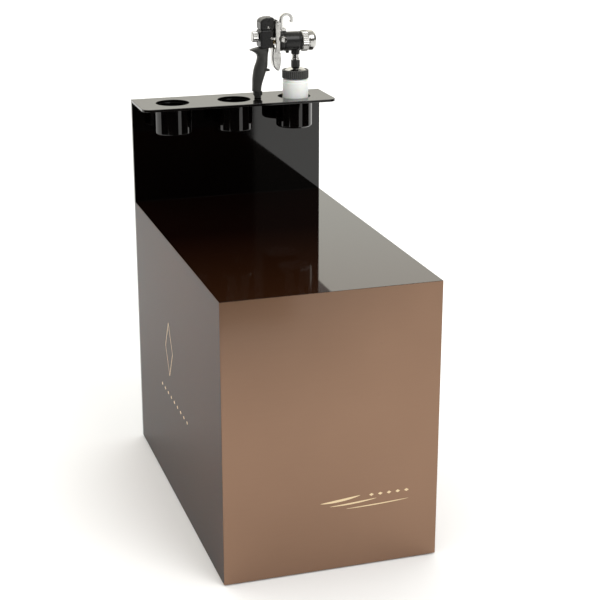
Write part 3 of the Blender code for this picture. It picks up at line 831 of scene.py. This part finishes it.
def make_lever():
    """The trigger's finger lever, thick and round at its edges."""
    outline = [(92.5, 113.5), (91, 104), (90.5, 94), (91.2, 82), (94, 72), (99.5, 64.5),
               (104.5, 61.5), (107.5, 64), (110, 74), (111.3, 86), (111.3, 97), (110, 102.5),
               (106.2, 104.8), (105, 113.5)]
    smooth = catmull(outline + outline[:1], 4)[:-1]
    lever = round_edges(extrude("lever", smooth, -9.5, 9.5, GUN), 2.5, 4, 60)
    return bake_modifiers(lever)


def make_trigger():
    """Finger lever, a fork of two arms up to the pivot, and the web that draws the needle."""
    pivot = (PIVOT.x - GUN.x, PIVOT.z - GUN.z)
    inner, outer = 20.3, 23.3
    across = inner + 1
    arm = [(92.8, 106.5), (105.2, 106.5), (104.8, 118)] + arc(pivot, 6.5, 0, 180, 28) + [(95.2, 118)]
    web = [(98.5, 119.5), (101.5, 119.5), (101.5, 135.5), (98.5, 135.5)]
    bridge = [(93.2, 107), (105.0, 107), (104.6, 113), (94, 113)]
    trigger = make_lever()
    combine(trigger, "UNION", [
        extrude("near_arm", arm, -outer, -inner, GUN),
        extrude("far_arm", arm, inner, outer, GUN),
        extrude("web", web, -across, across, GUN),
        extrude("arm_bridge", bridge, -across, across, GUN),
    ])
    combine(trigger, "DIFFERENCE", [
        lathe("pin_bore", rod(2.4, GUN.y - 30, GUN.y + 30), PIVOT, Y, 32, 0),
        lathe("needle_hole", rod(2.3, GUN.x + 94, GUN.x + 106), LINE, X, 32, 0),
    ])
    stand_for("trigger", cast(trigger, 0.5, 3), False)


def make_pivot_pin():
    """Pin with a domed head, which has a slot for a screwdriver."""
    centre, radius, low, high = round_size("pivot_pin", Y)
    shank, slot = 2, 0.45
    section = [(0, low), (radius * 0.55, low + 0.05), (radius * 0.8, low + 0.3), (radius, low + 0.9),
               (radius, low + 1.6), (shank, low + 1.6), (shank, high - 0.5), (1.5, high), (0, high)]
    pin = lathe("pivot_pin", section, centre, Y, 48, 0.12)
    cutter = block("pin_slot", Vector((centre.x - radius, low - 0.5, centre.z - slot)),
                   Vector((centre.x + radius, low + 0.7, centre.z + slot)))
    stand_for("pivot_pin", combine(pin, "DIFFERENCE", [cutter]))


def make_needle():
    """Needle with its ground tip."""
    _, radius, low, high = round_size("needle", X)
    section = [(0, low), (radius - 0.2, low), (radius, low + 0.4), (radius, high - 7),
               (0.3, high - 0.2), (0, high)]
    turned("needle", X, section, 24, 0)


def make_needle_collar():
    """Collar on the needle, with a groove round its middle."""
    _, radius, low, high = round_size("needle_collar", X)
    bore, half, groove = 1.6, (low + high) / 2, radius - 0.7
    section = [(bore, low), (radius, low), (radius, half - 0.6), (groove, half - 0.4),
               (groove, half + 0.4), (radius, half + 0.6), (radius, high), (bore, high)]
    turned("needle_collar", X, section, 48, 0.15)


def make_packing_nut():
    """Nut with a knurled head, which presses the packing round the needle."""
    _, radius, low, high = round_size("packing_nut", X)
    bore, shank, head = 1.7, 3.9, low + 3
    section = [(bore, low), (radius - 0.5, low), (radius, low + 0.5), (radius, head), (shank, head),
               (shank, high), (bore, high)]
    turned("packing_nut", X, section, 120, 0.15, ribbed(20, 0.45, low + 0.3, head, 5))


def make_spring():
    """Coil spring, closer wound at its ends. On the real gun it gets shorter as the needle draws back.
    """
    centre, _, low, high = round_size("needle_spring", X)
    radius, wire, turns, per_turn, round_wire, closing = 3.7, 0.65, 6, 20, 10, 0.05
    steps = turns * per_turn
    first, last = low + wire, high - wire
    rings = []
    for k in range(steps + 1):
        turn = math.tau * k / per_turn
        share = k / steps
        eased_share = share - math.sin(math.tau * share) * closing
        out = Vector((0, math.cos(turn), math.sin(turn)))
        spot = Vector((first + (last - first) * eased_share, centre.y, centre.z)) + out * radius
        rings.append([spot + out * wire * math.cos(a) + Vector((wire * math.sin(a), 0, 0))
                      for a in (math.tau * j / round_wire for j in range(round_wire))])
    spring = stand_for("needle_spring", loft("spring", rings), False)
    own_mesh(spring)


def make_nozzle():
    """Fluid nozzle with a hexagon before its cone."""
    _, radius, low, high = round_size("fluid_nozzle", X)
    bore, thread = 1.7, 7.9
    section = [(bore, low), (thread, low), (thread, low + 7.9), (radius, low + 7.9),
               (radius, low + 12.1), (5, low + 13.1), (2.6, high), (bore, high)]
    flats = hexagonal(radius * 0.9, low + 7.8, low + 12.2)
    turned("fluid_nozzle", X, section, 96, 0.2, flats)


def make_air_cap():
    """Air cap, hollow behind its face, with two horns and four small holes between them."""
    low, high = box_mm("air_cap")
    start, face = low.x, low.x + 8.2
    section = [(3.1, face - 1), (8.5, face), (12.6, face - 1.6), (12.6, start + 4), (18.1, start + 4),
               (18.1, start), (12, start), (8.2, start + 2.1), (3.1, start + 5.4)]
    air_cap = lathe("air_cap", section, LINE, X, 96, 0.3)
    horns = []
    for side in (-1, 1):
        # in X and in height over the needle's line
        corners = [(start + 5.1, side * 7.6), (high.x - 1, side * 8.6), (high.x, side * 11.4),
                   (start + 5.1, side * 12.3)]
        outline = eased(corners, 0.7, 3, False)
        horns.append(extrude(f"horn_{side}", outline, -2.8, 2.8, Vector((0, LINE.y, LINE.z))))
    combine(air_cap, "UNION", horns)
    holes = []
    for degrees in (45, 135, 225, 315):
        turn = math.radians(degrees)
        spot = LINE + Vector((0, 6 * math.cos(turn), 6 * math.sin(turn)))
        holes.append(lathe(f"hole_{degrees}", rod(0.7, face - 2, face + 2), spot, X, 20, 0))
    combine(air_cap, "DIFFERENCE", holes)
    stand_for("air_cap", air_cap)


def make_air_cap_ring():
    """Ring that holds the air cap: knurled behind, a groove, and a taper in front."""
    _, radius, low, high = round_size("air_cap_ring", X)
    bore, mouth, groove, front = 18.8, 13.2, radius - 1.2, radius - 0.2
    section = [(bore, low), (radius - 1.6, low), (radius, low + 2), (radius, low + 14.5),
               (groove, low + 15.5), (groove, low + 17), (front, low + 18), (front, low + 26.5),
               (radius - 5.4, high), (mouth, high), (mouth, low + 27.3), (bore, low + 27.3)]
    turned("air_cap_ring", X, section, 288, 0.35, ribbed(36, 1.0, low + 1, low + 14.6, 21))


def make_fluid_knob():
    """Knurled knob at the gun's rear, with a neck and a stem."""
    _, radius, low, high = round_size("fluid_knob", X)
    section = [(0, low + 0.4), (radius - 4, low + 0.4), (radius - 2.6, low), (radius - 1.4, low),
               (radius, low + 1.4), (radius, low + 13), (radius - 1.5, low + 14.6), (6, low + 15.4),
               (3, low + 15.4), (3, high), (0, high)]
    knurl = ribbed(28, 0.7, low + 1, low + 13.2, radius - 1.3)
    turned("fluid_knob", X, section, 224, 0.3, knurl)


def make_fan_knob():
    """Smaller knurled knob on the gun's side."""
    _, radius, low, high = round_size("fan_knob", Y)
    section = [(0, low + 0.3), (radius - 2.6, low + 0.3), (radius - 1.2, low), (radius, low + 1.4),
               (radius, low + 8.2), (radius - 1.1, low + 10), (2.5, low + 10), (2.5, high), (0, high)]
    turned("fan_knob", Y, section, 192, 0.25, ribbed(24, 0.5, low + 1, low + 8.4, radius - 0.6))


def make_fluid_stem():
    """Hollow stem between the gun's socket and the lid, with a hexagon at its middle."""
    top, bore = GUN.z, 2.9
    section = [(bore, top + 71.8), (6, top + 71.8), (6, top + 84), (9, top + 84), (9.4, top + 86),
               (8, top + 89), (8, top + 97), (7, top + 97.2), (7, top + 103.6), (bore, top + 103.6)]
    stem = lathe("stem", section, BOTTLE, Z, 96, 0.4, hexagonal(8.2, top + 84, top + 86.5))
    stand_for("fluid_stem", stem)


def make_stem_nut():
    """Hexagonal nut with eased ends."""
    _, radius, low, high = round_size("stem_nut", Z)
    bore, ease = 6.4, 1.2
    section = [(bore, low), (radius - 1, low), (radius, low + ease), (radius, high - ease),
               (radius - 1, high), (bore, high)]
    turned("stem_nut", Z, section, 96, 0.2, hexagonal(radius * 0.9, low - 1, high + 1))


def make_bottle_lid():
    """Domed lid with a rim for the ring and a hole for the stem."""
    _, radius, low, high = round_size("bottle_lid", Z)
    section = [(3, low), (radius, low), (radius, low + 2), (radius - 1.9, low + 2.2),
               (radius - 2, low + 3.4), (21, low + 6.2), (16, low + 8.6), (11, low + 10.1),
               (6, low + 10.7), (6, high), (3, high)]
    turned("bottle_lid", Z, section, 96, 1.2)


def make_lid_gasket():
    """Flat rubber ring between the lid and the bottle."""
    _, radius, low, high = round_size("lid_gasket", Z)
    turned("lid_gasket", Z, pipe(radius - 5, radius, low, high), 72, 0.3)


def make_cap_ring():
    """Ribbed screw ring, open in the middle, which holds the lid down."""
    _, radius, low, high = round_size("cap_ring", Z)
    skirt, bore, mouth = low + 4.6, 27.4, 25.5
    section = [(bore, skirt), (radius - 0.8, skirt), (radius, skirt + 0.8), (radius, skirt + 3),
               (radius, high - 3.4), (radius, high - 1.2), (radius - 1.2, high), (mouth, high),
               (mouth, high - 2), (bore, high - 2)]
    grip = ribbed(40, 1.5, skirt + 0.5, high - 1.6, radius - 1)
    turned("cap_ring", Z, section, 384, 0.4, grip)


def make_bottle():
    """Blown bottle: neck, a faint groove under the shoulder and low down, and a raised floor."""
    _, radius, low, high = round_size("bottle", Z)
    inner, neck, shoulder = radius - 1.5, 25.5, low + 100.4
    section = [(0, low + 1.6), (radius - 10, low + 1.6), (radius - 8, low), (radius - 4, low),
               (radius - 1.2, low + 1.2), (radius, low + 4), (radius, low + 12),
               (radius - 0.5, low + 13), (radius - 0.5, low + 15), (radius, low + 16),
               (radius, shoulder - 6), (radius - 0.5, shoulder - 4.6),
               (radius - 0.4, shoulder - 2.6), (radius, shoulder - 1.2), (radius - 0.3, shoulder),
               (neck, shoulder + 3.2), (neck, high), (neck - 2, high), (neck - 2, shoulder + 2),
               (inner, shoulder - 1.4), (inner, low + 4.5), (radius - 5, low + 3.1), (0, low + 3.1)]
    turned("bottle", Z, section, 96, 0.8)


def make_pickup_tube():
    _, radius, low, high = round_size("pickup_tube", Z)
    turned("pickup_tube", Z, pipe(1.8, radius, low, high), 36, 0.3)


# -------- plain foil ornament

def foil(name, flat_points, face):
    """A thin foil shape on a panel. face says which way the panel looks: "front" or "left"."""
    front = box_mm("front_panel")[0].y
    left = box_mm("left_side_panel")[0].x
    rings = []
    for depth in (-FOIL, FOIL * 2):
        if face == "front":
            rings.append([(a, front + depth, b) for a, b in flat_points])
        else:
            rings.append([(left + depth, a, b) for a, b in flat_points])
    thing = loft(name, rings)
    thing.data.materials.append(finishes["foil"])
    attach(thing, "stand")


def diamond(a, z, half_wide, half_high):
    """Four corners round a place on a panel: a is along the panel, z is up."""
    return [(a - half_wide, z), (a, z - half_high), (a + half_wide, z), (a, z + half_high)]


def streak(start, end, height, rise, steps=24):
    """A long leaf shape, thin at both ends, that climbs a little along its length."""
    upper, lower = [], []
    for k in range(steps + 1):
        t = k / steps
        x = start[0] + (end - start[0]) * t
        z = start[1] + rise * t * t
        half = height / 2 * math.sin(math.pi * t) ** 0.7 + 0.15
        upper.append((x, z + half))
        lower.append((x, z - half))
    return lower + upper[::-1]


def make_front_ornament():
    """Three gold streaks at the front's lower right, under a row of small diamonds."""
    streaks = ((-25, 152, 60, 5.0, 8), (-5, 143, 95, 3.2, 6), (30, 134, 165, 2.2, 5))
    for k, (x, z, end, height, rise) in enumerate(streaks):
        foil(f"front_streak_{k}", streak((x, z), end, height, rise), "front")
    for k in range(5):
        foil(f"front_diamond_{k}", diamond(84 + 19 * k, 158, 5.12, 3.2), "front")


def make_side_ornament():
    """A row of small diamonds on the left panel, and an open lozenge above them."""
    middle_y, middle_z, half_wide, half_high, line = 60, 345, 34, 62, 1.2
    for k in range(9):
        foil(f"side_diamond_{k}", diamond(140 - 30 * k, 235, 6.4, 4), "left")
    corners = diamond(middle_y, middle_z, half_wide, half_high)
    for k in range(4):
        a, b = Vector(corners[k]), Vector(corners[(k + 1) % 4])
        across = (b - a).normalized().orthogonal() * line
        side = [tuple(a - across), tuple(b - across), tuple(b + across), tuple(a + across)]
        foil(f"side_lozenge_{k}", side, "left")


# -------- floor, light and camera

def make_floor():
    """A pale floor, far wider than any view of the stand."""
    bm = bmesh.new()
    bmesh.ops.create_grid(bm, x_segments=2, y_segments=2, size=60000)
    floor = close_mesh("floor", bm)
    f = Finish("pale_floor", Roughness=0.8)
    f.colour(f.blend(f.noise(0.6, 2.0), (0.88, 0.88, 0.875), (0.90, 0.90, 0.895)))
    floor.data.materials.append(f.material)


def make_world():
    """A pale studio: brighter behind the stand than in front of it, and plain where it is seen."""
    world = bpy.data.worlds.new("studio")
    bpy.context.scene.world = world
    world.use_nodes = True
    tree = world.node_tree
    tree.nodes.clear()
    white, cream, ivory, fill = (1, 1, 1, 1), (1.0, 0.975, 0.88, 1), (1.0, 0.99, 0.965, 1), 0.62
    way = add_node(tree, "ShaderNodeTexCoord").outputs["Generated"]
    split = add_node(tree, "ShaderNodeSeparateXYZ", {0: way})
    ray = add_node(tree, "ShaderNodeLightPath").outputs

    def fade(axis, start, end, to_start, to_end):
        inputs = {"Value": split.outputs[axis], "From Min": start, "From Max": end,
                  "To Min": to_start, "To Max": to_end}
        made = add_node(tree, "ShaderNodeMapRange", inputs, interpolation_type="SMOOTHSTEP")
        return made.outputs[0]

    def multiply_add(a, b, c):
        inputs = {0: a, 1: b, 2: c}
        return add_node(tree, "ShaderNodeMath", inputs, operation="MULTIPLY_ADD").outputs[0]

    behind = fade("Y", 0.3, 0.75, 0.0, 1.0)
    low_band, top_light = fade("Z", 0.08, 0.28, 0.45, 1.2), fade("Z", 0.5, 0.8, 0.18, 0.72)
    glow = multiply_add(behind, low_band, top_light)
    diffuse = ray["Is Diffuse Ray"]
    strength = multiply_add(diffuse, fill, glow)
    tint = add_node(tree, "ShaderNodeMix", {0: diffuse, 6: cream, 7: ivory}, data_type="RGBA")
    inputs = {"Color": tint.outputs[2], "Strength": strength}
    studio = add_node(tree, "ShaderNodeBackground", inputs).outputs[0]
    plain = add_node(tree, "ShaderNodeBackground", {"Color": white}).outputs[0]
    inputs = {0: ray["Is Camera Ray"], 1: studio, 2: plain}
    pick = add_node(tree, "ShaderNodeMixShader", inputs).outputs[0]
    add_node(tree, "ShaderNodeOutputWorld", {"Surface": pick})


def make_lights():
    """One broad soft key from the front right, which lights the whole floor alike."""
    data = bpy.data.lights.new("key", "SUN")
    data.energy = 1.2
    data.angle = math.radians(34)
    key = add_object("key", data)
    key.rotation_euler = Vector((0.38, -0.72, 0.75)).to_track_quat("Z", "Y").to_euler()


def make_flags():
    """Dark cards round the stand, seen only in its gloss, as a studio hangs for black acrylic."""
    f = Finish("flag_felt", Roughness=1.0, Specular_IOR_Level=0.0)
    f.colour(f.blend(f.noise(3, 2.0), (0.010, 0.010, 0.010), (0.016, 0.015, 0.014)))
    cards = {
        "front": ((-2600, -2420, 5), (850, -2400, 1700)),
        "front_low": ((-1800, -1900, 5), (380, -1880, 240)),
        "front_high": ((850, -2420, 275), (2200, -2400, 340)),
        "left": ((-2620, -2400, 5), (-2600, 380, 520)),
        "right": ((2200, -2400, 5), (2220, 380, 520)),
    }
    for name, (low, high) in cards.items():
        card = block(f"flag_{name}", Vector(low), Vector(high))
        card.data.materials.append(f.material)
        card.visible_camera = False
        card.visible_diffuse = False
        card.visible_shadow = False
        card.visible_transmission = False


def make_camera():
    """Seen a little from the left and above, as in a catalogue."""
    azimuth, elevation, distance = math.radians(-17.58), math.radians(18.48), 3.247
    target = Vector((0.0569, 0, 0.451))
    level = math.cos(elevation)
    back = Vector((math.sin(azimuth) * level, -math.cos(azimuth) * level, math.sin(elevation)))
    data = bpy.data.cameras.new("camera")
    data.lens = 88.4
    data.sensor_width = 36
    data.clip_end = 200
    camera = add_object("camera", data)
    camera.location = target + back * distance
    camera.rotation_euler = back.to_track_quat("Z", "Y").to_euler()
    bpy.context.scene.camera = camera


finish_cabinet()
make_shelf()
make_cups()
make_feet()
make_bracket_screws()
make_gun_body()
make_handle()
make_inlet()
make_top_cover()
make_gun_screws()
make_hook()
make_trigger()
make_pivot_pin()
make_needle()
make_needle_collar()
make_packing_nut()
make_spring()
make_nozzle()
make_air_cap()
make_air_cap_ring()
make_fluid_knob()
make_fan_knob()
make_fluid_stem()
make_stem_nut()
make_bottle_lid()
make_lid_gasket()
make_cap_ring()
make_bottle()
make_pickup_tube()
make_front_ornament()
make_side_ornament()
make_floor()
make_world()
make_lights()
make_flags()
make_camera()

bpy.context.scene.view_settings.view_transform = "Standard"
